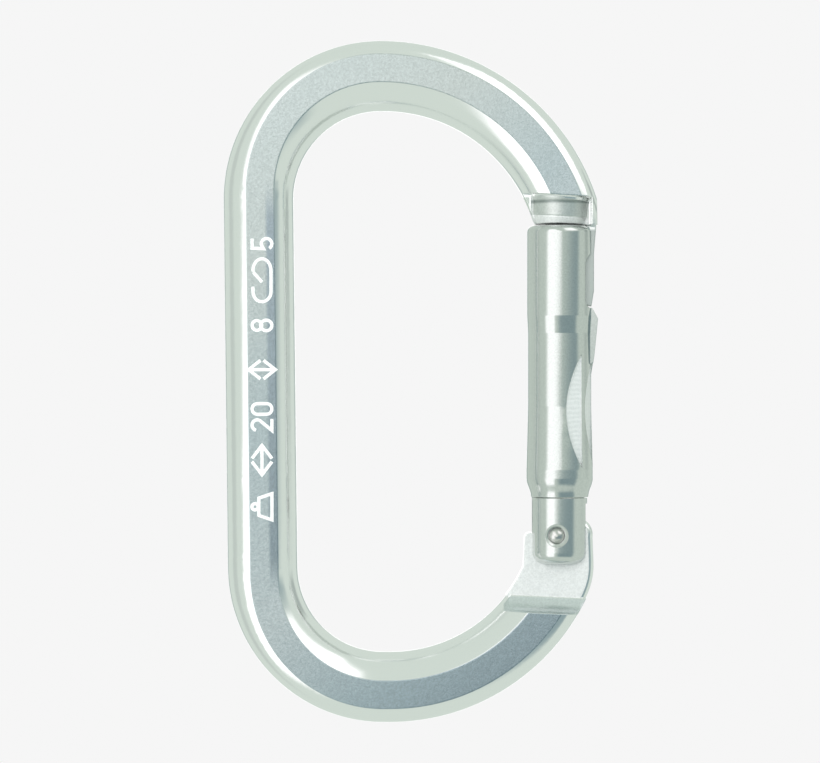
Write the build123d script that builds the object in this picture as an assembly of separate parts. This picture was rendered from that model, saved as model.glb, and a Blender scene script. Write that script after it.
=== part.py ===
from build123d import *
import math
import os

# Oval locking carabiner. Millimetres. +X towards the gate, +Z along the long axis towards
# the upper bow, Y through the thickness. The origin is the centre of the bounding box.

# Rod of the frame: a round section with a flat on its front and back.
ROD_HALF = 5.65
FLAT_Y = 5.15
FLAT_HALF = 2.25
# Slope of the rod's surface where it leaves the flat, outside and inside the loop.
OUTER_TILT_DEG = 17.0
INNER_TILT_DEG = 30.0
NOSE_TILT_IN_DEG = 10.0
# How far the flat's middle lies outside the rod's centreline.
SPINE_SHIFT = -0.42
UPPER_SHIFT = 1.0
LOWER_SHIFT = 0.9
NOSE_THINNING = 0.45
SHIFT_EASE = 0.7

# Centreline arcs of the frame: centre X, centre Z, radius.
UPPER_LEFT = (-4.85, 29.6, 19.75)
UPPER_RIGHT = (-4.85, 18.3, 31.05)
LOWER_LEFT = (-4.47, -29.9, 19.45)
LOWER_RIGHT = (-3.25, -20.0, 29.35)
SECTION_STEP = 15.0

# Gate: its own axis is vertical, and it turns about the hinge, whose axis is along Y.
GATE_X = 24.1
HINGE_X = 23.5
HINGE_Z = -24.8
GATE_OPEN_DEG = 25.0

HEAD_X = 23.95
HEAD_R = 4.62
HEAD_BOTTOM = -29.45
HEAD_TOP = -18.78
HEAD_FILLET = 1.8
CORE_R = 3.95
CORE_TOP = 25.15
CORE_CHAMFER = 0.4

# Hinge end of the frame: a tongue between the two ears of the gate body.
TONGUE_HALF = 1.7
TONGUE_SLOT_HALF = 1.75
TONGUE_SLOT_TOP = -19.7
TONGUE_TOP = -21.9
TONGUE_INNER_X = 18.4
TONGUE_INNER_TOP = -24.4
TONGUE_CORNER_R = 0.8
TONGUE_EDGE_ROUND = 0.9
STEP_Z = -37.1
STEP_X = 20.0
STEP_TILT_DEG = 2.6
STEP_FILLET = 2.9
STEP_FEATHER = 0.4
# Corners of the tongue on its outer side, from the cam down to the bow.
TONGUE_CREST = (26.7, -21.9)
TONGUE_SHOULDER = (28.75, -22.9)
TONGUE_CHEEK = (29.4, -25.2)
TONGUE_WAIST = (29.55, -29.2)
TONGUE_HEEL = (29.35, -31.9)
TONGUE_INSET = 0.1
CAM_LEAD = 1.2

# Nose end of the frame: a thin rib with a wider key at its foot, caught in the gate body.
NOSE_Z = 25.45
NOSE_SWING_R = 50.32
NOSE_OUTER_X = 30.0
RIB_HALF = 1.3
RIB_INNER = -2.2
RIB_OUTER = 5.5
KEY_HALF = 2.6
KEY_R = 3.9
KEY_LOW = 37.4
KEY_HIGH = 44.8
KEY_GAP = 0.15
KEY_FLOOR_GAP = 0.5
KEY_ROOF_GAP = 0.25
RIB_FOOT_BEVEL = (0.4, 2.0)
RIB_ROOT = 1.5
# Turned neck of the nose: radii about the gate's axis, heights above its ledge.
LEDGE_Z = 26.6
LEDGE_R = 4.6
LEDGE_NOTCH = 0.15
NECK_R = 4.7
NECK_TOP = 2.35
LIP_R = 5.25
LIP_TOP = 3.4
LIP_MID_R = 4.95
LIP_MID = 2.95
BEVEL_R = 3.9
BEVEL_FOOT = -1.6
NECK_SIDE_Y = 1.6
NECK_OUTER_X = 29.1
NOSE_TILT_DEG = 3.6
# Rounded bevel of the nose inside the loop: radius and height above the ledge of its ends.
INNER_BEVEL_TOP = (5.1, 1.0)
INNER_BEVEL_MID = (4.6, -0.1)
INNER_BEVEL_R = 3.75

# Locking sleeve, which turns on the gate body.
SLEEVE_BORE_R = 4.05
SLEEVE_TOP = 25.2
SLEEVE_BOTTOM = -18.7
SLEEVE_R = 5.27
WAIST_R = 5.12
WAIST_LOW = -4.0
WAIST_TOP = 7.8
COLLAR_LOW = 10.6
SKIRT_R = 5.38
SKIRT_END_R = 4.65
SKIRT_TOP = -14.2
SKIRT_LOW = -15.6
SLEEVE_TOP_FILLET = 1.1
SLEEVE_END_FILLET = 0.15
SLEEVE_TWIST_DEG = 90.0
WINDOW_HALF = 3.4
WINDOW_BOTTOM = 11.9
WINDOW_TOP = 20.6
WINDOW_TOP_CORNER = 1.9
WINDOW_LOW_CORNER = 1.3
MOUTH_HALF = 1.77
LUG_HALF = 1.6
LUG_R = 6.15
SCALLOP_FLOOR = 4.75
SCALLOP_LENGTH = 18.3
SCALLOP_Z = -4.8
# Angle of each scallop's straight edge and of the middle of its bowed edge, from +X.
SCALLOPS_DEG = ((-6.5, -39.5), (-49.0, -80.0))

# Stop pin and snap ring, which hold the sleeve on the gate body.
STOP_PIN_R = 0.6
STOP_PIN_Z = 9.3
STOP_PIN_TIP = 4.5
STOP_PIN_ROOT = 1.4
STOP_GROOVE_R = 4.65
STOP_GROOVE_HALF = 0.66
STOP_GROOVE_PLAY_DEG = 12.0
RING_Z = 7.0
RING_HALF = 0.35
RING_IN_R = 3.5
RING_OUT_R = 4.3
RING_GAP = 0.08
RING_SPLIT_HALF = 0.8
RING_CUT = 1.0

# Hinge rivet.
RIVET_R = 1.2
RIVET_END_Y = 3.7
RIVET_DISH_R = 1.85
RIVET_DISH_Y = 4.0
RIVET_SEAT_Y = 3.55
RIVET_DOME = 0.45
RIVET_GAP = 0.03

# Spring and plunger that close the gate, in a bore above the tongue.
SPRING_BORE_R = 1.75
SPRING_BORE_TOP = 6.0
PLUNGER_R = 1.67
PLUNGER_GAP = 0.02
PLUNGER_SHOULDER = -15.6
PLUNGER_SPIGOT_R = 0.95
PLUNGER_SPIGOT_TOP = -13.0
PLUNGER_CHAMFER = 0.15
SPRING_WIRE_R = 0.25
SPRING_COIL_R = 1.35
SPRING_TURNS = 11
# Radius of the base circle of the tongue's cam, so the plunger lifts this much per radian.
CAM_BASE_R = 1.0

FAR = 60.0


def rod_section(shift, inner_half=ROD_HALF, inner_tilt=INNER_TILT_DEG):
    """Cross-section of the rod, local x pointing out of the loop, local y across it."""
    outer = shift + FLAT_HALF
    inner = shift - FLAT_HALF
    c = math.cos(math.radians(OUTER_TILT_DEG))
    s = math.sin(math.radians(OUTER_TILT_DEG))
    front = Line((inner, -FLAT_Y), (outer, -FLAT_Y))
    outer_points = ((outer, -FLAT_Y), (ROD_HALF, 0), (outer, FLAT_Y))
    outside = Spline(*outer_points, tangents=((c, s), (-c, s)))
    back = Line((outer, FLAT_Y), (inner, FLAT_Y))
    c = math.cos(math.radians(inner_tilt))
    s = math.sin(math.radians(inner_tilt))
    inner_points = ((inner, FLAT_Y), (-inner_half, 0), (inner, -FLAT_Y))
    inside = Spline(*inner_points, tangents=((-c, -s), (c, -s)))
    return make_face([front, outside, back, inside])


def section_plane(arc, angle):
    """Plane across the rod where the arc's radius makes this angle with +X."""
    cx, cz, radius = arc
    c = math.cos(math.radians(angle))
    s = math.sin(math.radians(angle))
    origin = (cx + radius * c, 0, cz + radius * s)
    return Plane(origin=origin, x_dir=(c, 0, s), z_dir=(-s, 0, c))


def bow(arc, start, end, shift_start, shift_end, half_end=ROD_HALF, tilt_end=INNER_TILT_DEG):
    """Curved stretch of rod whose flat drifts from one shift to another along the arc."""
    count = math.ceil(abs(end - start) / SECTION_STEP) + 1
    sections = []
    for i in range(count):
        t = i / (count - 1)
        blend = math.sin(math.pi / 2 * t**SHIFT_EASE) ** 2
        shift = shift_start + (shift_end - shift_start) * blend
        half = ROD_HALF + (half_end - ROD_HALF) * t
        tilt = INNER_TILT_DEG + (tilt_end - INNER_TILT_DEG) * t
        plane = section_plane(arc, start + (end - start) * t)
        sections.append(plane * rod_section(shift, half, tilt))
    return loft(sections)


def straight(arc_from, arc_to, angle, shift):
    """Straight stretch of rod between two arcs, from this angle on each of them."""
    start = section_plane(arc_from, angle)
    end = section_plane(arc_to, angle)
    length = (end.origin - start.origin).length
    return extrude(start * rod_section(shift), amount=length)


def hinge_arc(radius, x_low, x_high):
    """Arc about the hinge axis between two X values, seen from the front, in X and Z."""
    points = []
    for x in (x_low, (x_low + x_high) / 2, x_high):
        dx = x - HINGE_X
        points.append((x, HINGE_Z + math.sqrt(radius**2 - dx**2)))
    return points


def front_plate(edges, half, shift_y=0.0):
    """Solid of thickness 2 * half from edges drawn in X and Z, centred on Y = shift_y."""
    face = Plane.XZ.offset(-shift_y) * make_face(edges)
    return extrude(face, amount=half, both=True)


def slab(x0, x1, y0, y1, z0, z1):
    """Box between two corners."""
    box = Box(x1 - x0, y1 - y0, z1 - z0)
    return Pos((x0 + x1) / 2, (y0 + y1) / 2, (z0 + z1) / 2) * box


def upright(radius, z0, z1, x=GATE_X):
    """Cylinder standing along the gate's axis."""
    return Pos(x, 0, (z0 + z1) / 2) * Cylinder(radius, z1 - z0)


def spine_angle():
    """Angle of the line that touches both left-hand arcs on their outer side."""
    dx = UPPER_LEFT[0] - LOWER_LEFT[0]
    dz = UPPER_LEFT[1] - LOWER_LEFT[1]
    lean = math.acos((LOWER_LEFT[2] - UPPER_LEFT[2]) / math.hypot(dx, dz))
    return math.degrees(math.atan2(dz, dx) + lean)


def rod():
    """The bent rod, from just past the nose's end round the spine to the tongue."""
    side = spine_angle()
    nose_half = ROD_HALF - NOSE_THINNING
    shift = UPPER_SHIFT
    upper_right = bow(UPPER_RIGHT, 90, 8, shift, shift, nose_half, NOSE_TILT_IN_DEG)
    upper_left = bow(UPPER_LEFT, side, 90, SPINE_SHIFT, UPPER_SHIFT)
    spine = straight(UPPER_LEFT, LOWER_LEFT, side, SPINE_SHIFT)
    lower_left = bow(LOWER_LEFT, side, 270, SPINE_SHIFT, LOWER_SHIFT)
    foot = straight(LOWER_LEFT, LOWER_RIGHT, 270, LOWER_SHIFT)
    lower_right = bow(LOWER_RIGHT, 270, 338, LOWER_SHIFT, LOWER_SHIFT)
    return upper_right, upper_left + spine + lower_left + foot, lower_right


def across(profile, x, tilt):
    """Cutter swept along X from a profile in Y and Z, sinking towards +X by a tilt."""
    face = Plane.YZ * make_face(profile)
    cutter = extrude(face, amount=FAR / 2, both=True)
    return Pos(x, 0, 0) * Rot(0, tilt, 0) * cutter


def neck_ring(edges, tilt):
    """Cutter turned about the gate's axis, from edges in radius and height above the ledge."""
    ring = revolve(Plane.XZ * make_face(edges), axis=Axis.Z)
    return Pos(GATE_X, 0, LEDGE_Z) * Rot(0, tilt, 0) * ring


def neck_cutter():
    """Turned neck, its ledge and the bevel below it, as a ring to cut away."""
    far = FAR / 6
    edges = [
        Line((far, LIP_TOP), (LIP_R, LIP_TOP)),
        ThreePointArc((LIP_R, LIP_TOP), (LIP_MID_R + 0.08, LIP_TOP - 0.13), (LIP_MID_R, LIP_MID)),
        Line((LIP_MID_R, LIP_MID), (NECK_R, NECK_TOP)),
        Line((NECK_R, NECK_TOP), (LEDGE_R, LEDGE_NOTCH)),
        Line((LEDGE_R, LEDGE_NOTCH), (LEDGE_R - LEDGE_NOTCH, 0)),
        Line((LEDGE_R - LEDGE_NOTCH, 0), (LEDGE_R - LEDGE_NOTCH / 2, -LEDGE_NOTCH)),
        Line((LEDGE_R - LEDGE_NOTCH / 2, -LEDGE_NOTCH), (BEVEL_R, BEVEL_FOOT)),
        Line((BEVEL_R, BEVEL_FOOT), (far, BEVEL_FOOT)),
        Line((far, BEVEL_FOOT), (far, LIP_TOP)),
    ]
    return neck_ring(edges, NOSE_TILT_DEG)


def inner_bevel_cutter():
    """Rounded bevel on the side of the nose that faces the inside of the loop."""
    far = FAR / 6
    foot = (INNER_BEVEL_R, BEVEL_FOOT)
    high = INNER_BEVEL_TOP[1]
    edges = [
        ThreePointArc(INNER_BEVEL_TOP, INNER_BEVEL_MID, foot),
        Line(foot, (far, BEVEL_FOOT)),
        Line((far, BEVEL_FOOT), (far, high)),
        Line((far, high), INNER_BEVEL_TOP),
    ]
    return neck_ring(edges, 0)


def nose(upper_right):
    """The upper right bow, ended above the gate, with its turned neck front and back."""
    end = upper_right - slab(NOSE_OUTER_X, FAR, -FAR, FAR, -FAR, FAR)
    end -= pin_along_y(NOSE_SWING_R, FAR / 2)
    low = LEDGE_Z - FAR / 6
    high = LEDGE_Z + FAR / 6
    front = neck_cutter() & slab(0, NECK_OUTER_X, -FAR / 4, -NECK_SIDE_Y, low, high)
    end -= front
    end -= front.mirror(Plane.XZ)
    return end - (inner_bevel_cutter() & slab(0, GATE_X, -NECK_SIDE_Y, NECK_SIDE_Y, low, high))


def rib_and_key():
    """Thin rib below the nose and the wider key at its foot, with ends about the hinge."""
    inner = GATE_X + RIB_INNER
    outer = GATE_X + RIB_OUTER
    foot = hinge_arc(KEY_LOW, inner, outer - RIB_FOOT_BEVEL[0])
    toe = (outer, KEY_LOW + HINGE_Z + RIB_FOOT_BEVEL[1])
    root = NOSE_Z + RIB_ROOT
    rib_edges = [
        ThreePointArc(*foot),
        Line(foot[-1], toe),
        Line(toe, (outer, WINDOW_TOP)),
        Line((outer, WINDOW_TOP), (NOSE_OUTER_X, NOSE_Z)),
        Line((NOSE_OUTER_X, NOSE_Z), (NOSE_OUTER_X, root)),
        Line((NOSE_OUTER_X, root), (inner, root)),
        Line((inner, root), foot[0]),
    ]
    rib = front_plate(rib_edges, RIB_HALF)
    low = hinge_arc(KEY_LOW, inner, GATE_X + KEY_R)
    high = hinge_arc(KEY_HIGH, inner, GATE_X + KEY_R)
    key_edges = [
        ThreePointArc(*low),
        Line(low[-1], high[-1]),
        ThreePointArc(*reversed(high)),
        Line(high[0], low[0]),
    ]
    key = front_plate(key_edges, KEY_HALF) & upright(KEY_R, 0, NOSE_Z)
    return rib, key


def cam_edges():
    """Top of the tongue under the plunger: an involute, then level."""
    rise = TONGUE_TOP - HINGE_Z
    points = []
    steps = 6
    for i in range(steps + 1):
        turn = math.radians((GATE_OPEN_DEG + 3.0) * (1 - i / steps))
        height = rise + CAM_BASE_R * turn
        x = -height * math.sin(turn) - CAM_BASE_R * math.cos(turn)
        z = height * math.cos(turn) - CAM_BASE_R * math.sin(turn)
        points.append((HINGE_X + x, HINGE_Z + z))
    return points


def tongue():
    """Flat tongue of the hinge end, its edges rounded where they show."""
    inner_x = TONGUE_INNER_X
    inner_top = TONGUE_INNER_TOP
    corner = TONGUE_CORNER_R
    cx, cz, radius = LOWER_RIGHT
    inner_r = radius - ROD_HALF - TONGUE_INSET
    outer_r = radius + ROD_HALF - TONGUE_INSET
    root_angle = math.radians(-38.0)
    root_in = (cx + inner_r * math.cos(root_angle), cz + inner_r * math.sin(root_angle))
    neck_z = cz - math.sqrt(inner_r**2 - (inner_x - 0.2 - cx) ** 2)
    neck_angle = math.atan2(neck_z - cz, inner_x - 0.2 - cx)
    mid = (root_angle + neck_angle) / 2
    neck_mid = (cx + inner_r * math.cos(mid), cz + inner_r * math.sin(mid))
    neck = (inner_x - 0.2, neck_z)
    low_angle = math.radians(-24.0)
    low_out = (cx + outer_r * math.cos(low_angle), cz + outer_r * math.sin(low_angle))
    root_mid_angle = math.radians(-31.0)
    root_mid = (cx + outer_r * math.cos(root_mid_angle), cz + outer_r * math.sin(root_mid_angle))
    root_out = (cx + outer_r * math.cos(root_angle), cz + outer_r * math.sin(root_angle))
    cam = cam_edges()
    edges = [
        ThreePointArc(root_in, neck_mid, neck),
        Line(neck, (inner_x, inner_top - corner)),
        RadiusArc((inner_x, inner_top - corner), (inner_x + corner, inner_top), corner),
        Line((inner_x + corner, inner_top), (cam[0][0] - CAM_LEAD, inner_top)),
        Line((cam[0][0] - CAM_LEAD, inner_top), cam[0]),
        Spline(*cam),
        Line(cam[-1], TONGUE_CREST),
        ThreePointArc(TONGUE_CREST, TONGUE_SHOULDER, TONGUE_CHEEK),
        Line(TONGUE_CHEEK, TONGUE_WAIST),
        ThreePointArc(TONGUE_WAIST, TONGUE_HEEL, low_out),
        ThreePointArc(low_out, root_mid, root_out),
        Line(root_out, root_in),
    ]
    plate = front_plate(edges, TONGUE_HALF)
    rims = plate.edges().filter_by(lambda e: abs(abs(e.center().Y) - TONGUE_HALF) < 0.01)
    high = rims.filter_by(lambda e: e.center().X > TONGUE_SHOULDER[0] - 0.25)
    low = rims.filter_by(lambda e: e.center().X > GATE_X and e.center().Z < TONGUE_WAIST[1])
    return fillet(list(set(high) | set(low)), TONGUE_EDGE_ROUND)


def frame():
    """The load-bearing body: bent rod, nose and tongue in one piece."""
    upper_right, middle, lower_right = rod()
    side = [
        Line((-TONGUE_HALF, FAR / 4), (-TONGUE_HALF, STEP_FILLET)),
        CenterArc((-TONGUE_HALF - STEP_FILLET, STEP_FILLET), STEP_FILLET, 0, -90),
        Line((-TONGUE_HALF - STEP_FILLET, 0), (-FAR / 4, 0)),
        Line((-FAR / 4, 0), (-FAR / 4, FAR / 4)),
        Line((-FAR / 4, FAR / 4), (-TONGUE_HALF, FAR / 4)),
    ]
    front = Pos(0, 0, STEP_Z) * across(side, STEP_X, STEP_TILT_DEG)
    lower_right -= front
    lower_right -= front.mirror(Plane.XZ)
    side_y = FAR / 4
    top_z = STEP_FILLET - STEP_FEATHER
    lid = Polyline((-side_y, top_z), (side_y, top_z), (side_y, FAR), (-side_y, FAR), close=True)
    lower_right -= Pos(0, 0, STEP_Z) * across(lid, STEP_X, STEP_TILT_DEG)
    rib, key = rib_and_key()
    plate = tongue()
    pieces = [nose(upper_right), middle, lower_right, rib, key, plate]
    whole = pieces[0]
    for piece in pieces[1:]:
        whole += piece
    return whole - pin_along_y(RIVET_R + RIVET_GAP, FAR)


def twin(cutter):
    """A cutter together with its mirror image behind the middle plane."""
    return cutter + cutter.mirror(Plane.XZ)


def pin_along_y(radius, half_length, x=HINGE_X, z=HINGE_Z):
    """Cylinder lying along Y."""
    return Pos(x, 0, z) * Rot(90, 0, 0) * Cylinder(radius, 2 * half_length)


def gate_body():
    """Gate: a clevis head, a core for the sleeve, and a slot that takes the nose's key."""
    head = upright(HEAD_R, HEAD_BOTTOM, HEAD_TOP, HEAD_X)
    rims = head.edges().filter_by(GeomType.CIRCLE).sort_by(Axis.Z)
    head = fillet(rims[0], HEAD_FILLET)
    body = head + upright(CORE_R, HEAD_TOP, CORE_TOP)
    top = body.edges().filter_by(GeomType.CIRCLE).sort_by(Axis.Z)[-1]
    body = chamfer(top, CORE_CHAMFER)

    slot = TONGUE_SLOT_HALF
    body -= slab(0, FAR, -slot, slot, -FAR, TONGUE_SLOT_TOP)
    body -= slab(0, GATE_X - CORE_R, -slot, slot, -FAR, HEAD_TOP + 1)
    body -= pin_along_y(RIVET_R + RIVET_GAP, FAR)
    body -= twin(rivet_dish())

    body -= upright(SPRING_BORE_R, HEAD_BOTTOM, SPRING_BORE_TOP, HINGE_X)

    back = GATE_X + RIB_INNER - KEY_GAP
    floor = HINGE_Z + KEY_LOW - KEY_FLOOR_GAP
    shoulder = HINGE_Z + KEY_HIGH + KEY_ROOF_GAP
    rib = RIB_HALF + KEY_GAP
    key = KEY_HALF + KEY_GAP
    body -= slab(back, FAR, -rib, rib, floor, FAR)
    body -= slab(back, FAR, -key, key, floor, shoulder)

    pin_hole = Pos(GATE_X, 0, STOP_PIN_Z) * Rot(0, -90, 0)
    pin_hole = pin_hole * Cylinder(STOP_PIN_R, FAR, align=(Align.CENTER, Align.CENTER, Align.MIN))
    body -= pin_hole - upright(STOP_PIN_ROOT, HEAD_BOTTOM, CORE_TOP)
    groove = upright(FAR / 4, RING_Z - RING_HALF - RING_GAP, RING_Z + RING_HALF + RING_GAP)
    body -= groove - upright(RING_IN_R - RING_GAP, HEAD_BOTTOM, CORE_TOP)
    return body


def rivet_dish():
    """Countersink in the ear round the rivet's end, with a short upright wall."""
    seat = RIVET_R + RIVET_GAP
    profile = Polyline(
        (0, -RIVET_SEAT_Y),
        (seat, -RIVET_SEAT_Y),
        (RIVET_DISH_R, -RIVET_DISH_Y),
        (RIVET_DISH_R, -HEAD_R - 1),
        (0, -HEAD_R - 1),
        close=True,
    )
    return Pos(HINGE_X, 0, HINGE_Z) * revolve(make_face(profile), axis=Axis.Y)


def hinge_pin():
    """Rivet through both ears and the tongue, its ends formed into low domes."""
    half = RIVET_END_Y
    tip = half + RIVET_DOME
    dome_r = (RIVET_R**2 + RIVET_DOME**2) / (2 * RIVET_DOME)
    mid_x = RIVET_R / 2
    mid_y = tip - dome_r + math.sqrt(dome_r**2 - mid_x**2)
    profile = [
        ThreePointArc((0, -tip), (mid_x, -mid_y), (RIVET_R, -half)),
        Line((RIVET_R, -half), (RIVET_R, half)),
        ThreePointArc((RIVET_R, half), (mid_x, mid_y), (0, tip)),
        Line((0, tip), (0, -tip)),
    ]
    return Pos(HINGE_X, 0, HINGE_Z) * revolve(make_face(profile), axis=Axis.Y)


def spring_plunger():
    """Flat-ended plunger that the gate spring presses on the tongue's cam."""
    tip = TONGUE_TOP + PLUNGER_GAP
    barrel = upright(PLUNGER_R, tip, PLUNGER_SHOULDER, HINGE_X)
    rims = barrel.edges().filter_by(GeomType.CIRCLE)
    barrel = chamfer(rims, PLUNGER_CHAMFER)
    return barrel + upright(PLUNGER_SPIGOT_R, PLUNGER_SHOULDER, PLUNGER_SPIGOT_TOP, HINGE_X)


def gate_spring():
    """Compression spring between the plunger and the end of its bore."""
    low = PLUNGER_SHOULDER + SPRING_WIRE_R + PLUNGER_GAP
    height = SPRING_BORE_TOP - SPRING_WIRE_R - PLUNGER_GAP - low
    path = Helix(height / SPRING_TURNS, height, SPRING_COIL_R)
    section = Plane(origin=path @ 0, z_dir=path % 0) * Circle(SPRING_WIRE_R)
    return Pos(HINGE_X, 0, low) * sweep(section, path=path, is_frenet=True)


def sleeve_blank():
    """Turned sleeve before milling, with its waist and its wider skirt."""
    skirt_end = (SKIRT_END_R, SLEEVE_BOTTOM)
    skirt = (SKIRT_R, SKIRT_LOW)
    edges = [
        Line((0, SLEEVE_BOTTOM), skirt_end),
        Spline(skirt_end, skirt, tangents=((0, 1), (0, 1))),
        Polyline(skirt, (SKIRT_R, SKIRT_TOP), (WAIST_R, WAIST_LOW), (WAIST_R, WAIST_TOP)),
        Polyline((WAIST_R, WAIST_TOP), (SLEEVE_R, COLLAR_LOW), (SLEEVE_R, SLEEVE_TOP)),
        Polyline((SLEEVE_R, SLEEVE_TOP), (0, SLEEVE_TOP), (0, SLEEVE_BOTTOM)),
    ]
    solid = revolve(Plane.XZ * make_face(edges), axis=Axis.Z)
    rims = solid.edges().filter_by(GeomType.CIRCLE).sort_by(Axis.Z)
    solid = fillet(rims[-1], SLEEVE_TOP_FILLET)
    rims = solid.edges().filter_by(GeomType.CIRCLE).sort_by(Axis.Z)
    return fillet(rims[0], SLEEVE_END_FILLET)


def lug():
    """Thumb ramp that stands out of the sleeve just below its window."""
    edges = Polyline(
        (SLEEVE_BORE_R + 0.3, WINDOW_BOTTOM),
        (SLEEVE_R - 0.05, WINDOW_BOTTOM),
        (LUG_R, WINDOW_BOTTOM - 1.7),
        (LUG_R - 0.2, WINDOW_BOTTOM - 3.9),
        (LUG_R - 0.6, WINDOW_BOTTOM - 7.8),
        (WAIST_R - 0.05, 1.0),
        (SLEEVE_BORE_R + 0.3, 1.0),
        close=True,
    )
    return front_plate(edges, LUG_HALF)


def scallop(edge_deg, bulge_deg):
    """Shallow flat-floored pocket with one straight edge and one bowed edge."""
    width = SLEEVE_R * math.sin(math.radians(abs(bulge_deg - edge_deg) / 2)) * 2
    sense = 1 if bulge_deg > edge_deg else -1
    half = SCALLOP_LENGTH / 2
    edge = -sense * width / 2
    outline = [
        Line((edge, -half), (edge, half)),
        ThreePointArc((edge, half), (edge + sense * width, 0), (edge, -half)),
    ]
    blank = extrude(make_face(outline), amount=SLEEVE_R)
    middle = (edge_deg + bulge_deg) / 2
    c = math.cos(math.radians(middle))
    s = math.sin(math.radians(middle))
    floor = (c * SCALLOP_FLOOR, s * SCALLOP_FLOOR, SCALLOP_Z)
    plane = Plane(origin=floor, x_dir=(-s, c, 0), z_dir=(c, s, 0))
    return plane * blank


def sector(radius, start_deg, end_deg, z0, z1):
    """Wedge of a cylinder about the sleeve's own axis, between two angles from +X."""
    middle = (start_deg + end_deg) / 2
    points = [(0, 0)]
    for angle in (start_deg, middle, end_deg):
        a = math.radians(angle)
        points.append((radius * math.cos(a), radius * math.sin(a)))
    edges = [Line(points[0], points[1]), ThreePointArc(*points[1:]), Line(points[3], points[0])]
    return Pos(0, 0, z0) * extrude(make_face(edges), amount=z1 - z0)


def locking_sleeve():
    """Sleeve with a window for the nose at the front of its travel and a catch at its end."""
    body = sleeve_blank() + lug()
    body -= Cylinder(SLEEVE_BORE_R, 2 * FAR)

    window = slab(0, FAR, -WINDOW_HALF, 0, WINDOW_BOTTOM, WINDOW_TOP)
    corners = window.edges().filter_by(Axis.X).group_by(Axis.Y)[0].sort_by(Axis.Z)
    window = fillet(corners[-1], WINDOW_TOP_CORNER)
    corners = window.edges().filter_by(Axis.X).group_by(Axis.Y)[0].sort_by(Axis.Z)
    window = fillet(corners[0], WINDOW_LOW_CORNER)
    mouth = slab(0, FAR, -MOUTH_HALF, 0, WINDOW_BOTTOM, FAR)
    sweep_back = sector(FAR / 4, 0, SLEEVE_TWIST_DEG, WINDOW_BOTTOM, FAR)
    catch = slab(-MOUTH_HALF, 0, 0, FAR, WINDOW_BOTTOM, FAR)
    body -= window + mouth + sweep_back + catch

    for near, far in SCALLOPS_DEG:
        body -= scallop(near, far)
        body -= scallop(-near, -far)

    first = 180 - STOP_GROOVE_PLAY_DEG
    last = 180 + SLEEVE_TWIST_DEG + STOP_GROOVE_PLAY_DEG
    low = STOP_PIN_Z - STOP_GROOVE_HALF
    high = STOP_PIN_Z + STOP_GROOVE_HALF
    body -= sector(STOP_GROOVE_R, first, last, low, high)
    body -= Pos(0, 0, RING_Z) * Cylinder(RING_OUT_R + RING_GAP, 2 * (RING_HALF + RING_GAP))
    return Pos(GATE_X, 0, 0) * body


def sleeve_stop_pin():
    """Pin in the gate body whose tip runs in the sleeve's groove and stops its turn."""
    pin = Pos(GATE_X, 0, STOP_PIN_Z) * Rot(0, -90, 0)
    length = STOP_PIN_TIP - STOP_PIN_ROOT
    align = (Align.CENTER, Align.CENTER, Align.MIN)
    return pin * Pos(0, 0, STOP_PIN_ROOT) * Cylinder(STOP_PIN_R, length, align=align)


def sleeve_snap_ring():
    """Split ring that keeps the sleeve from sliding along the gate body."""
    ring = upright(RING_OUT_R, RING_Z - RING_HALF, RING_Z + RING_HALF)
    low = RING_Z - RING_CUT
    high = RING_Z + RING_CUT
    ring -= upright(RING_IN_R, low, high)
    return ring - slab(GATE_X, FAR, -RING_SPLIT_HALF, RING_SPLIT_HALF, low, high)


PARTS = {
    "frame": frame,
    "gate_body": gate_body,
    "hinge_pin": hinge_pin,
    "spring_plunger": spring_plunger,
    "gate_spring": gate_spring,
    "locking_sleeve": locking_sleeve,
    "sleeve_stop_pin": sleeve_stop_pin,
    "sleeve_snap_ring": sleeve_snap_ring,
}


if __name__ == "__main__":
    os.makedirs("parts", exist_ok=True)
    for name, make in PARTS.items():
        solid = make()
        solid.label = name
        export_step(solid, f"parts/{name}.step")
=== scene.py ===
import math

import bpy
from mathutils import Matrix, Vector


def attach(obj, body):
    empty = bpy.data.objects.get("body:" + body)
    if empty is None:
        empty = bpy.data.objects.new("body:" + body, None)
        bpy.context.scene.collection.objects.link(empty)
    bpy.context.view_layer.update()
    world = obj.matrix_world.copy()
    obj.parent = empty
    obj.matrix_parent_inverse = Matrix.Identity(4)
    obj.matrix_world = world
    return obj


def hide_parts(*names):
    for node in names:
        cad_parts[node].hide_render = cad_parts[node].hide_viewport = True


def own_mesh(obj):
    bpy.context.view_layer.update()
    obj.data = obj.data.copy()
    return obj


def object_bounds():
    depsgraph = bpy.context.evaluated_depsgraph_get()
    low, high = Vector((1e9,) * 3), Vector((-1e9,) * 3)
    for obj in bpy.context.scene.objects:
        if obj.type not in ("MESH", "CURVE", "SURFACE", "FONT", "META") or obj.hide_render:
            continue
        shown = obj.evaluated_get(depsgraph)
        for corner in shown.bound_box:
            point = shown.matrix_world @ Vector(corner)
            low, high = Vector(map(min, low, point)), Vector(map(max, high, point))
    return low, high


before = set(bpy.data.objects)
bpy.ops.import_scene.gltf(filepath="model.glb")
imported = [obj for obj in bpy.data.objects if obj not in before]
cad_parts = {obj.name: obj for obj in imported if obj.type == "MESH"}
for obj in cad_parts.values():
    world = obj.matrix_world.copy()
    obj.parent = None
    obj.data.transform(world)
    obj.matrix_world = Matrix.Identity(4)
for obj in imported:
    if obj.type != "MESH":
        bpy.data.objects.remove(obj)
cad_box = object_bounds()

MM = 0.001

# Camera: far enough away for an almost parallel view.
CAMERA_DISTANCE = 0.6
PICTURE_WIDTH_MM = 132.7
SENSOR_MM = 36.0
AIM_X = -0.1 * MM
AIM_Z = 0.0

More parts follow.
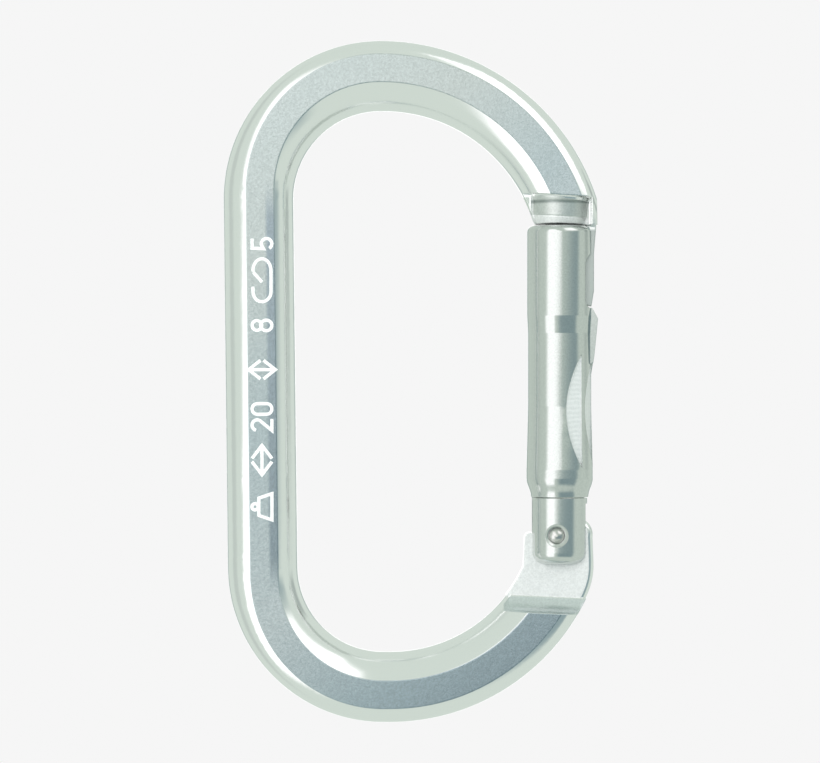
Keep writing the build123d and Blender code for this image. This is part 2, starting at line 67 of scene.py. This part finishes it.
# Colours of the light tent, as its parts show in the metal. Only the camera sees the backdrop.
BACKDROP = (0.921, 0.921, 0.921, 1.0)
TENT = (0.66, 0.735, 0.675, 1.0)
FRONT_SHADE = (0.28, 0.37, 0.385, 1.0)
LEFT_SHADE = (0.55, 0.61, 0.57, 1.0)
RIGHT_SHADE = (0.40, 0.455, 0.43, 1.0)
REAR_SHADE = (0.44, 0.51, 0.49, 1.0)
SOFTBOX = (1.45, 1.45, 1.45, 1.0)

# Soft lamp: strength, and in degrees its width, its tilt from overhead and its turn.
LAMP_STRENGTH = 1.6
LAMP_WIDTH = 40
LAMP_TILT = 65
LAMP_TURN = -25

# Floor: how far it lies below the object and how far it reaches, in metres.
FLOOR_DROP = 0.06
FLOOR_REACH = 4.0

# Finishes and painted shades: colour and roughness.
POLISHED = ((0.93, 0.94, 0.935, 1.0), 0.13)
# Painted shade: the dark reflection of a slightly tilted edge, painted as a darker strip on the
# spine's flat.
SPINE_EDGE_SHADE = ((0.40, 0.47, 0.515, 1.0), 0.24)
STEP_FACE = ((0.74, 0.80, 0.80, 1.0), 0.3)
TONGUE_FACE = ((0.95, 0.955, 0.955, 1.0), 0.5)
KEY_FACE = ((0.66, 0.69, 0.67, 1.0), 0.38)
NECK_FACE = ((0.80, 0.83, 0.81, 1.0), 0.42)
NECK_SHADE = ((0.40, 0.44, 0.43, 1.0), 0.42)
NECK_FOOT = ((0.95, 0.96, 0.96, 1.0), 0.45)
CHEEK_FACE = ((0.80, 0.85, 0.80, 1.0), 0.45)
TURNED_GATE = ((0.72, 0.745, 0.73, 1.0), 0.15)
TURNED_SLEEVE = ((0.71, 0.735, 0.72, 1.0), 0.15)
SCALLOP_FLOOR = ((0.95, 0.96, 0.96, 1.0), 0.5)
PIN_STEEL = ((0.70, 0.70, 0.68, 1.0), 0.2)
SPRING_STEEL = ((0.55, 0.54, 0.52, 1.0), 0.25)
ETCHED = ((0.94, 0.95, 0.95, 1.0), 0.6)

# Blasted flats: painted light, tones that stand in for their reflection brightening and dimming
# from the foot of the gate side (0) to the head of the spine (1), along z + TONE_LEAN * x,
# which runs TONE_REACH millimetres to both sides of the middle.
FLAT_ROUGHNESS = 0.26
FLAT_PAINTED_LIGHT = (
    (0.0, (0.48, 0.556, 0.607, 1.0)),
    (0.12, (0.57, 0.657, 0.704, 1.0)),
    (0.34, (0.76, 0.81, 0.83, 1.0)),
    (0.62, (0.57, 0.65, 0.675, 1.0)),
    (0.84, (0.64, 0.69, 0.68, 1.0)),
    (1.0, (0.64, 0.70, 0.695, 1.0)),
)
TONE_LEAN = -0.9
TONE_REACH = 60

# Places on the CAD model that the finishes follow, in millimetres.
GATE_X = 24.1
FLAT_Y = 5.15
TONGUE_Y = 1.7
TONGUE_X = 15.0
TONGUE_TOP_Z = -21.0
STEP_X = 20.0
STEP_Z = -37.1
STEP_SLOPE = math.tan(math.radians(2.6))
NECK_R = 4.93
NECK_LOW_Z = 24.5
NECK_TOP_Z = 29.9
NECK_SHADE_LOW_Z = 28.75
NECK_SHADE_TOP_Z = 29.25
KEY_X = 21.0
KEY_LOW_Z = 11.0
LEDGE_Z = 26.6
LEDGE_SLOPE = math.tan(math.radians(3.6))
SPINE_INNER_X = -21.59
SPINE_LEAN = 0.0114
# Heights between which the painted shade strip runs along the spine.
SPINE_EDGE_SHADE_LOW_Z = -31
SPINE_EDGE_SHADE_TOP_Z = 29
SCALLOP_Z = -4.8
SCALLOP_HALF = 9.4
SCALLOP_LOW_R = 4.4
SCALLOP_HIGH_R = 5.02

# Closing spring, in millimetres: its axis, the ends of its wire's centreline and its wire.
SPRING_X = 23.5
SPRING_LOW = -15.33
SPRING_TOP = 5.73
SPRING_COIL_R = 1.35
SPRING_WIRE_R = 0.25
SPRING_TURNS = 11
SPRING_STEPS = 24
SPRING_SIDES = 8

# Markings on the spine's front flat, in millimetres: the line they stand on, their stroke,
# their skin, how far it is sunk, and how much higher each further stroke lies, so that no two
# faces coincide.
MARK_X = -23.85
MARK_STROKE = 0.52
MARK_THICK = 0.012
MARK_SUNK = 0.004
MARK_STAGGER = 0.003
MITRE_LIMIT = 0.35
DIGIT_HALF = 1.85
DIGIT_WIDE = 0.85


class Nodes:
    """Shorthand for building a node tree."""

    def __init__(self, tree):
        self.tree = tree
        tree.nodes.clear()

    def add(self, kind, **settings):
        node = self.tree.nodes.new(kind)
        for key, value in settings.items():
            setattr(node, key, value)
        return node

    def link(self, source, target):
        self.tree.links.new(source, target)

    def put(self, socket, value):
        """Links a socket to a socket, or sets a plain value."""
        if isinstance(value, bpy.types.NodeSocket):
            self.link(value, socket)
        elif value is not None:
            socket.default_value = value

    def math(self, operation, a, b=None, c=None, clamp=False):
        node = self.add("ShaderNodeMath", operation=operation, use_clamp=clamp)
        for socket, value in zip(node.inputs, (a, b, c)):
            self.put(socket, value)
        return node.outputs[0]

    def smooth(self, value, low, high, out_low=0.0, out_high=1.0):
        """Smooth step from out_low to out_high as value goes from low to high."""
        node = self.add("ShaderNodeMapRange", interpolation_type="SMOOTHSTEP")
        names = ("Value", "From Min", "From Max", "To Min", "To Max")
        for name, v in zip(names, (value, low, high, out_low, out_high)):
            self.put(node.inputs[name], v)
        return node.outputs[0]

    def ramp(self, value, low, high, out_low, out_high):
        """Straight ramp from out_low to out_high, level outside."""
        node = self.add("ShaderNodeMapRange")
        names = ("Value", "From Min", "From Max", "To Min", "To Max")
        for name, v in zip(names, (value, low, high, out_low, out_high)):
            self.put(node.inputs[name], v)
        return node.outputs[0]

    def band(self, value, low, high, soft):
        """1 between low and high, falling to 0 over soft on both sides."""
        rise = self.smooth(value, low - soft, low + soft)
        fall = self.smooth(value, high - soft, high + soft, 1.0, 0.0)
        return self.math("MULTIPLY", rise, fall)

    def both(self, *values):
        """Product of several masks."""
        result = values[0]
        for value in values[1:]:
            result = self.math("MULTIPLY", result, value)
        return result

    def mix(self, factor, a, b):
        """Colour a where the factor is 0, colour b where it is 1."""
        node = self.add("ShaderNodeMix", data_type="RGBA")
        self.put(node.inputs[0], factor)
        self.put(node.inputs[6], a)
        self.put(node.inputs[7], b)
        return node.outputs[2]

    def blend(self, factor, a, b):
        """Number a where the factor is 0, number b where it is 1."""
        node = self.add("ShaderNodeMix", data_type="FLOAT")
        self.put(node.inputs[0], factor)
        self.put(node.inputs[2], a)
        self.put(node.inputs[3], b)
        return node.outputs[0]

    def split(self, vector):
        node = self.add("ShaderNodeSeparateXYZ")
        self.link(vector, node.inputs[0])
        return node.outputs

    def join(self, x, y, z):
        node = self.add("ShaderNodeCombineXYZ")
        for socket, value in zip(node.inputs, (x, y, z)):
            self.put(socket, value)
        return node.outputs[0]

    def noise(self, place, scale, detail=2.0):
        node = self.add("ShaderNodeTexNoise")
        self.link(place, node.inputs["Vector"])
        node.inputs["Scale"].default_value = scale
        node.inputs["Detail"].default_value = detail
        return node.outputs["Fac"]


def studio():
    """Light tent that the metal reflects, with a plain pale backdrop for the camera.

    Places are in degrees. Azimuth is 0 behind the camera, 90 on the right and 180 behind the
    object; height is 0 at the middle of the object.
    """
    world = bpy.data.worlds.new("studio")
    bpy.context.scene.world = world
    world.use_nodes = True
    n = Nodes(world.node_tree)
    x, y, z = n.split(n.add("ShaderNodeTexCoord").outputs["Generated"])
    degrees = 180 / math.pi
    azimuth = n.math("MULTIPLY", n.math("ARCTAN2", x, n.math("MULTIPLY", y, -1.0)), degrees)
    height = n.math("MULTIPLY", n.math("ARCSINE", z), degrees)

    def tiers(below, above):
        """One azimuth below the middle and another above it, with a short slope between."""
        return n.ramp(height, -3, 3, below, above)

    # Grey side walls: the left one is tall, the right one stands just above the middle.
    left_wall = n.both(n.band(azimuth, -104, -80, soft=6), n.band(height, -50, 50, soft=20))
    colour = n.mix(left_wall, TENT, LEFT_SHADE)
    right_wall = n.both(n.band(azimuth, 99, 117, soft=5), n.band(height, 1, 25, soft=4))
    colour = n.mix(right_wall, colour, RIGHT_SHADE)

    # The dark side of the tent: it starts further left below the middle than above it.
    start = tiers(-18, 12)
    full = tiers(4, 74)
    stop = tiers(52, 64)
    dark_side = n.both(
        n.smooth(azimuth, start, full),
        n.smooth(n.math("SUBTRACT", azimuth, stop), 0, 14, 1.0, 0.0),
        n.smooth(height, -44, -28),
        n.smooth(height, 2, 22, 1.0, 0.0),
    )
    colour = n.mix(dark_side, colour, FRONT_SHADE)

    # The left softbox is widest a little above the middle, the right one stands high.
    left_edge = tiers(-54, -44)
    right_edge = n.math("ADD", n.ramp(height, -25, -3, -22, -19), tiers(0, 26))
    right_edge = n.math("ADD", right_edge, n.ramp(height, 6, 30, 0, -24))
    left_box = n.both(
        n.smooth(n.math("SUBTRACT", azimuth, left_edge), -4, 4),
        n.smooth(n.math("SUBTRACT", azimuth, right_edge), -2, 2, 1.0, 0.0),
        n.band(height, -36, 38, soft=8),
    )
    right_box = n.both(n.band(azimuth, 20, 66, soft=6), n.band(height, 18, 60, soft=5))
    colour = n.mix(n.math("MAXIMUM", left_box, right_box), colour, SOFTBOX)

    # Behind the object: a low softbox between two grey strips.
    rear = n.math("ABSOLUTE", azimuth)
    level = n.band(height, -16, 16, soft=6)
    colour = n.mix(n.both(n.band(rear, 150, 163, soft=3), level), colour, REAR_SHADE)
    colour = n.mix(n.both(n.smooth(rear, 167, 171), level), colour, SOFTBOX)

    seen = n.add("ShaderNodeLightPath").outputs["Is Camera Ray"]
    colour = n.mix(seen, colour, BACKDROP)
    back = n.add("ShaderNodeBackground")
    n.link(colour, back.inputs["Color"])
    out = n.add("ShaderNodeOutputWorld")
    n.link(back.outputs[0], out.inputs[0])


def make_camera():
    data = bpy.data.cameras.new("camera")
    camera = bpy.data.objects.new("camera", data)
    bpy.context.scene.collection.objects.link(camera)
    data.sensor_width = SENSOR_MM
    data.lens = SENSOR_MM * CAMERA_DISTANCE / (PICTURE_WIDTH_MM * MM)
    camera.location = (AIM_X, -CAMERA_DISTANCE, AIM_Z)
    camera.rotation_euler = (math.radians(90), 0, 0)
    bpy.context.scene.camera = camera


def lamp():
    """Soft lamp from the front left, which only the dull surfaces answer to."""
    data = bpy.data.lights.new("lamp", "SUN")
    data.energy = LAMP_STRENGTH
    data.angle = math.radians(LAMP_WIDTH)
    obj = bpy.data.objects.new("lamp", data)
    bpy.context.scene.collection.objects.link(obj)
    obj.rotation_euler = (math.radians(LAMP_TILT), 0, math.radians(LAMP_TURN))
    obj.visible_glossy = False


def floor():
    """Plain pale floor below the object, the colour of the backdrop."""
    low = cad_box[0].z - FLOOR_DROP
    half = FLOOR_REACH
    mesh = bpy.data.meshes.new("floor")
    corners = [(-half, -half, low), (half, -half, low), (half, half, low), (-half, half, low)]
    mesh.from_pydata(corners, [], [(0, 1, 2, 3)])
    obj = bpy.data.objects.new("floor", mesh)
    bpy.context.scene.collection.objects.link(obj)
    material = bpy.data.materials.new("floor")
    material.use_nodes = True
    n = Nodes(material.node_tree)
    glow = n.add("ShaderNodeEmission")
    glow.inputs["Color"].default_value = BACKDROP
    out = n.add("ShaderNodeOutputMaterial")
    n.link(glow.outputs[0], out.inputs[0])
    mesh.materials.append(material)
    obj.visible_glossy = False
    obj.visible_diffuse = False


class Metal(Nodes):
    """A metal finish whose colour and gloss are built up zone by zone."""

    def __init__(self, name, colour, roughness, edge_mm):
        self.material = bpy.data.materials.new(name)
        self.material.use_nodes = True
        super().__init__(self.material.node_tree)
        self.shader = self.add("ShaderNodeBsdfPrincipled")
        scaled = self.add("ShaderNodeVectorMath", operation="SCALE")
        self.link(self.add("ShaderNodeTexCoord").outputs["Object"], scaled.inputs[0])
        scaled.inputs["Scale"].default_value = 1 / MM
        self.place = scaled.outputs[0]
        self.x, self.y, self.z = self.split(self.place)
        self.depth = self.math("ABSOLUTE", self.y)
        edge = self.add("ShaderNodeBevel", samples=8)
        edge.inputs["Radius"].default_value = edge_mm * MM
        self.normal = edge.outputs[0]
        self.colour = colour
        self.roughness = roughness
        self.metallic = 1.0

    def from_axis(self, x, y):
        """Distance from an upright axis."""
        dx = self.math("SUBTRACT", self.x, x)
        dy = self.math("SUBTRACT", self.y, y)
        square = self.math("ADD", self.math("MULTIPLY", dx, dx), self.math("MULTIPLY", dy, dy))
        return self.math("SQRT", square)

    def zone(self, mask, colour, roughness):
        """Another colour and roughness where the mask is 1."""
        self.colour = self.mix(mask, self.colour, colour)
        self.roughness = self.blend(mask, self.roughness, roughness)

    def chalky(self, mask, metallic):
        """Freshly milled metal that scatters light like a matt white skin."""
        self.metallic = self.blend(mask, self.metallic, metallic)

    def bump(self, height, strength, distance_mm, mask=None):
        """Fine relief, only where the mask is 1 if there is one."""
        node = self.add("ShaderNodeBump")
        node.inputs["Distance"].default_value = distance_mm * MM
        if mask is not None:
            strength = self.math("MULTIPLY", mask, strength)
        self.put(node.inputs["Strength"], strength)
        self.link(height, node.inputs["Height"])
        self.link(self.normal, node.inputs["Normal"])
        self.normal = node.outputs[0]

    def vary(self, grain, amount, mask=1.0):
        """Darkens the colour a little where a grain is low."""
        factor = self.math("MULTIPLY", self.smooth(grain, 0.35, 0.65, 1.0, 0.0), mask)
        dark = self.add("ShaderNodeMix", data_type="RGBA", blend_type="MULTIPLY")
        dark.inputs[0].default_value = 1.0
        self.put(dark.inputs[6], self.colour)
        dark.inputs[7].default_value = (1 - amount, 1 - amount, 1 - amount, 1.0)
        self.colour = self.mix(factor, self.colour, dark.outputs[2])

    def finish(self):
        self.put(self.shader.inputs["Base Color"], self.colour)
        self.put(self.shader.inputs["Roughness"], self.roughness)
        self.put(self.shader.inputs["Metallic"], self.metallic)
        self.link(self.normal, self.shader.inputs["Normal"])
        out = self.add("ShaderNodeOutputMaterial")
        self.link(self.shader.outputs[0], out.inputs[0])
        return self.material


def painted_flat_light(m):
    """Painted light on the blasted flats: colour that stands in for their changing reflection,
    along a slanting line over the object.
    """
    slant = m.math("ADD", m.z, m.math("MULTIPLY", m.x, TONE_LEAN))
    tone = m.add("ShaderNodeValToRGB")
    m.link(m.ramp(slant, -TONE_REACH, TONE_REACH, 0, 1), tone.inputs[0])
    stops = tone.color_ramp.elements
    while len(stops) < len(FLAT_PAINTED_LIGHT):
        stops.new(0.5)
    for stop, (position, colour) in zip(stops, FLAT_PAINTED_LIGHT):
        stop.position = position
        stop.color = colour
    return tone.outputs[0]


def sloped(m, z, x, slope):
    """Height of a line that passes (x, z) and falls to the right."""
    return m.math("SUBTRACT", z, m.math("MULTIPLY", m.math("SUBTRACT", m.x, x), slope))


def flat_zones(m):
    """Blasted flats with painted light, and a painted shade: a darker strip along the spine's
    inner edge.
    """
    flat = m.smooth(m.depth, FLAT_Y - 0.03, FLAT_Y - 0.01)
    # Painted light: the flats' colour follows how bright their reflection is over the object.
    m.zone(flat, painted_flat_light(m), FLAT_ROUGHNESS)
    edge = m.math("MULTIPLY_ADD", m.z, -SPINE_LEAN, SPINE_INNER_X)
    inset = m.math("SUBTRACT", edge, m.x)
    # Painted shade: a darker strip along the spine's inner edge.
    painted_edge_shade = m.both(
        flat,
        m.band(m.z, SPINE_EDGE_SHADE_LOW_Z, SPINE_EDGE_SHADE_TOP_Z, soft=4),
        m.smooth(inset, 1.0, 1.7, 1.0, 0.0),
        m.smooth(inset, -0.6, -0.4),
    )
    m.zone(painted_edge_shade, *SPINE_EDGE_SHADE)
    return flat


def hinge_zones(m):
    """Step above the lower flat, and the tongue that stands on it."""
    hinge_end = m.both(
        m.math("GREATER_THAN", m.x, TONGUE_X),
        m.math("LESS_THAN", m.z, TONGUE_TOP_Z),
        m.math("GREATER_THAN", m.z, sloped(m, STEP_Z - 0.1, STEP_X, STEP_SLOPE)),
    )
    step = m.both(hinge_end, m.smooth(m.depth, TONGUE_Y + 0.02, TONGUE_Y + 0.1))
    m.zone(step, *STEP_FACE)
    tongue = m.both(hinge_end, m.band(m.depth, TONGUE_Y - 0.01, TONGUE_Y + 0.02, soft=0.008))
    m.zone(tongue, *TONGUE_FACE)
    m.chalky(tongue, metallic=0.62)
    return m.math("MAXIMUM", tongue, step)


def nose_zones(m):
    """Key, turned neck with a shaded top and a milled foot, and the cheek beside the neck."""
    key = m.both(
        m.math("GREATER_THAN", m.x, KEY_X),
        m.band(m.z, KEY_LOW_Z, NECK_LOW_Z, soft=0.3),
    )
    m.zone(key, *KEY_FACE)
    near_axis = m.smooth(m.from_axis(GATE_X, 0), NECK_R, NECK_R + 0.06, 1.0, 0.0)
    neck = m.both(near_axis, m.band(m.z, NECK_LOW_Z, NECK_TOP_Z, soft=0.1))
    m.zone(neck, *NECK_FACE)
    shaded = m.both(near_axis, m.band(m.z, NECK_SHADE_LOW_Z, NECK_SHADE_TOP_Z, soft=0.22))
    m.zone(shaded, *NECK_SHADE)
    cheek = m.both(
        m.math("LESS_THAN", m.x, GATE_X - NECK_R),
        m.math("GREATER_THAN", m.x, TONGUE_X),
        m.band(m.z, NECK_LOW_Z, NECK_TOP_Z - 0.2, soft=0.1),
        m.math("LESS_THAN", m.depth, FLAT_Y - 0.1),
    )
    m.zone(cheek, *CHEEK_FACE)
    foot = m.both(neck, m.math("LESS_THAN", m.z, sloped(m, LEDGE_Z, GATE_X, LEDGE_SLOPE)))
    m.zone(foot, *NECK_FOOT)
    m.chalky(foot, metallic=0.6)
    return neck


def frame_finish():
    """Polished rod with blasted flats, and milled faces at the hinge and at the nose."""
    m = Metal("frame_aluminium", *POLISHED, edge_mm=0.3)
    grain = m.noise(m.place, scale=3.2, detail=3.0)
    fine = m.noise(m.place, scale=9.0, detail=1.0)
    waves = m.noise(m.place, scale=0.6, detail=1.0)
    flat = flat_zones(m)
    hinge = hinge_zones(m)
    neck = nose_zones(m)
    dull = m.math("MAXIMUM", flat, m.math("MAXIMUM", hinge, neck))
    m.vary(grain, amount=0.10, mask=dull)
    m.vary(fine, amount=0.08, mask=dull)
    m.bump(grain, strength=0.35, distance_mm=0.02, mask=dull)
    m.bump(fine, strength=0.45, distance_mm=0.014, mask=dull)
    m.bump(waves, strength=0.1, distance_mm=0.05)
    return m.finish()


def scallop_zone(m):
    """Bright milled floors with a fine knurl, between two distances from the gate's axis."""
    floors = m.both(
        m.band(m.from_axis(GATE_X, 0), SCALLOP_LOW_R, SCALLOP_HIGH_R, soft=0.02),
        m.band(m.z, SCALLOP_Z - SCALLOP_HALF, SCALLOP_Z + SCALLOP_HALF, soft=0.1),
    )
    m.zone(floors, *SCALLOP_FLOOR)
    m.chalky(floors, metallic=0.55)
    teeth = m.add("ShaderNodeTexWave", bands_direction="Z")
    m.link(m.place, teeth.inputs["Vector"])
    teeth.inputs["Scale"].default_value = 0.42
    teeth.inputs["Distortion"].default_value = 3.0
    teeth.inputs["Detail"].default_value = 2.0
    m.bump(teeth.outputs["Fac"], strength=0.3, distance_mm=0.06, mask=floors)


def turned_finish(name, look, scallops):
    """Turned aluminium with faint tool rings, with or without scallops."""
    m = Metal(name, *look, edge_mm=0.1)
    grain = m.noise(m.place, scale=4.0, detail=2.0)
    rings = m.noise(m.join(0.0, 0.0, m.z), scale=7.0, detail=2.0)
    if scallops:
        scallop_zone(m)
    m.vary(grain, amount=0.06)
    m.bump(rings, strength=0.12, distance_mm=0.01)
    m.bump(grain, strength=0.12, distance_mm=0.012)
    return m.finish()


def steel_finish(name, look):
    """Drawn stainless steel with fine scratches."""
    m = Metal(name, *look, edge_mm=0.06)
    grain = m.noise(m.place, scale=6.0, detail=3.0)
    m.vary(grain, amount=0.08)
    m.bump(grain, strength=0.2, distance_mm=0.01)
    return m.finish()


def marking_finish():
    """Pale laser etching: a dull white skin with a fine grain."""
    m = Metal("laser_marking", *ETCHED, edge_mm=0.02)
    m.metallic = 0.0
    grain = m.noise(m.place, scale=8.0, detail=2.0)
    m.vary(grain, amount=0.04)
    m.bump(grain, strength=0.2, distance_mm=0.006)
    return m.finish()


def dress(node, material):
    """Puts one material on a CAD node."""
    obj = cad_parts[node]
    obj.data.materials.clear()
    obj.data.materials.append(material)


def ribbon(points, width, closed=False):
    """Flat ribbon along a line of points: its left and right edges, mitred at the corners."""
    count = len(points)
    left = []
    right = []
    for i, p in enumerate(points):
        before = points[i - 1] if i > 0 or closed else None
        after = points[(i + 1) % count] if i < count - 1 or closed else None
        normals = []
        for a, b in ((before, p), (p, after)):
            if a is not None and b is not None:
                dx, dy = b[0] - a[0], b[1] - a[1]
                size = math.hypot(dx, dy)
                normals.append((-dy / size, dx / size))
        nx = sum(v[0] for v in normals)
        ny = sum(v[1] for v in normals)
        size = math.hypot(nx, ny)
        nx, ny = nx / size, ny / size
        reach = width / 2 / max(MITRE_LIMIT, nx * normals[0][0] + ny * normals[0][1])
        left.append((p[0] + nx * reach, p[1] + ny * reach))
        right.append((p[0] - nx * reach, p[1] - ny * reach))
    return left, right


def arc(cx, cy, rx, ry, start, end, steps=20):
    """Points along part of an ellipse."""
    points = []
    for i in range(steps + 1):
        a = math.radians(start + (end - start) * i / steps)
        points.append((cx + rx * math.cos(a), cy + ry * math.sin(a)))
    return points


def marking(name, z, strokes, material):
    """Raised skin in the shape of some strokes, at this height on the spine's front flat.

    Strokes are drawn in millimetres, x along the spine and upwards, y across it towards the
    outside. Each one is a line of points, and whether it closes on itself.
    """
    vertices = []
    faces = []
    for order, (points, closed) in enumerate(strokes):
        lift = -FLAT_Y + MARK_SUNK - MARK_STAGGER * order
        left, right = ribbon(points, MARK_STROKE, closed)
        count = len(points)
        start = len(vertices)
        for level in (0.0, MARK_THICK):
            for side in (left, right):
                for px, py in side:
                    vertices.append(((MARK_X - py) * MM, (lift - level) * MM, (z + px) * MM))
        spans = count if closed else count - 1
        for i in range(spans):
            j = (i + 1) % count
            low_l, low_r, top_l, top_r = (start + k * count for k in range(4))
            faces.append((top_l + i, top_l + j, top_r + j, top_r + i))
            faces.append((low_r + i, low_r + j, low_l + j, low_l + i))
            faces.append((low_l + i, low_l + j, top_l + j, top_l + i))
            faces.append((top_r + i, top_r + j, low_r + j, low_r + i))
        if not closed:
            for i in (0, count - 1):
                faces.append((low_l + i, top_l + i, top_r + i, low_r + i))
    mesh = bpy.data.meshes.new(name)
    mesh.from_pydata(vertices, [], faces)
    mesh.update()
    mesh.materials.append(material)
    obj = bpy.data.objects.new(name, mesh)
    bpy.context.scene.collection.objects.link(obj)
    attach(obj, "frame")


def digit(figure, x):
    """Strokes of one figure, drawn upright about (x, 0)."""
    h = DIGIT_HALF - MARK_STROKE / 2
    w = DIGIT_WIDE
    if figure == "0":
        loop = arc(x, h - w, w, w, 0, 180, 12) + arc(x, -h + w, w, w, 180, 360, 12)
        return [(loop, True)]
    if figure == "2":
        top = arc(x, h - w, w, w, 165, -25, 14)
        return [(top + [(x - w, -h), (x + w + 0.15, -h)], False)]
    if figure == "8":
        small = 0.78
        low = arc(x, -h + w + 0.05, w, w + 0.05, 0, 360, 24)[:-1]
        top = arc(x, h - small, small, small, 0, 360, 24)[:-1]
        return [(low, True), (top, True)]
    flag = [(x + w, h), (x - w + 0.15, h), (x - w + 0.05, -h + 2 * w - 0.35)]
    bowl = arc(x, -h + w, w, w, 150, -150, 18)[3:]
    return [(flag + bowl, False)]


def arrow(half, along):
    """Double arrow with open heads, along the spine or across it."""
    shaft = half - 0.3
    back = 0.25
    wide = 0.62 * half + 0.15
    lines = [
        [(-shaft, 0), (shaft, 0)],
        [(-back, wide), (-half, 0), (-back, -wide)],
        [(back, wide), (half, 0), (back, -wide)],
    ]
    if not along:
        lines = [[(y, x) for x, y in line] for line in lines]
    return [(line, False) for line in lines]


def markings():
    """Generic strength symbols and figures, like those that every such connector carries."""
    skin = marking_finish()
    marking("mark_load_symbol", -20.1, load_symbol(), skin)
    marking("mark_arrow_along", -12.6, arrow(2.35, True), skin)
    marking("mark_figure_along", -5.7, digit("2", -1.3) + digit("0", 1.3), skin)
    marking("mark_arrow_across", 1.9, arrow(2.15, False), skin)
    marking("mark_figure_across", 9.0, digit("8", 0.0), skin)
    marking("mark_open_gate", 16.3, gate_symbol(), skin)
    marking("mark_figure_open", 22.1, digit("5", 0.0), skin)


def load_symbol():
    """A hanging weight: a wide block with a ring on top."""
    block = [(-2.1, -1.6), (2.1, -1.6), (1.4, 0.5), (-1.4, 0.5)]
    ring = arc(0, 1.12, 0.5, 0.5, 0, 360, 18)[:-1]
    return [(block, True), (ring, True)]


def gate_symbol():
    """An oval ring with its gate swung open."""
    low_end = arc(-1.9, 0, 1.6, 1.45, 90, 270, 14)
    high_end = arc(1.5, 0, 1.9, 1.45, -90, 95, 16)
    body = [(-1.1, 1.45)] + low_end + high_end
    gate = [(1.25, 1.4), (-0.35, 0.0)]
    return [(body, False), (gate, False)]


def closing_spring(material):
    """Coil in the gate's bore, as in the CAD."""
    vertices = []
    faces = []
    height = SPRING_TOP - SPRING_LOW
    slope = math.atan(height / SPRING_TURNS / (math.tau * SPRING_COIL_R))
    rings = SPRING_TURNS * SPRING_STEPS + 1
    for i in range(rings):
        a = math.tau * i / SPRING_STEPS
        z = SPRING_LOW + height * i / (rings - 1)
        for k in range(SPRING_SIDES):
            b = math.tau * k / SPRING_SIDES
            out = SPRING_COIL_R + SPRING_WIRE_R * math.cos(b)
            side = SPRING_WIRE_R * math.sin(b)
            x = SPRING_X + out * math.cos(a) + side * math.sin(slope) * math.sin(a)
            y = out * math.sin(a) - side * math.sin(slope) * math.cos(a)
            vertices.append((x * MM, y * MM, (z + side * math.cos(slope)) * MM))
            if i > 0:
                low = (i - 1) * SPRING_SIDES
                j = (k + 1) % SPRING_SIDES
                faces.append((low + k, low + j, low + j + SPRING_SIDES, low + k + SPRING_SIDES))
    faces.append(tuple(reversed(range(SPRING_SIDES))))
    faces.append(tuple(range(len(vertices) - SPRING_SIDES, len(vertices))))
    mesh = bpy.data.meshes.new("closing_spring")
    mesh.from_pydata(vertices, [], faces)
    mesh.shade_smooth()
    mesh.materials.append(material)
    obj = bpy.data.objects.new("closing_spring", mesh)
    bpy.context.scene.collection.objects.link(obj)
    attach(obj, "gate")
    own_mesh(obj)
    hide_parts("gate_spring")


scene = bpy.context.scene
scene.view_settings.view_transform = "Standard"
studio()
make_camera()
lamp()
floor()

dress("frame", frame_finish())
dress("gate_body", turned_finish("gate_aluminium", TURNED_GATE, scallops=False))
dress("locking_sleeve", turned_finish("sleeve_aluminium", TURNED_SLEEVE, scallops=True))
pin_steel = steel_finish("pin_steel", PIN_STEEL)
spring_steel = steel_finish("spring_steel", SPRING_STEEL)
for node in ("hinge_pin", "sleeve_stop_pin", "spring_plunger"):
    dress(node, pin_steel)
dress("sleeve_snap_ring", spring_steel)
closing_spring(spring_steel)
markings()
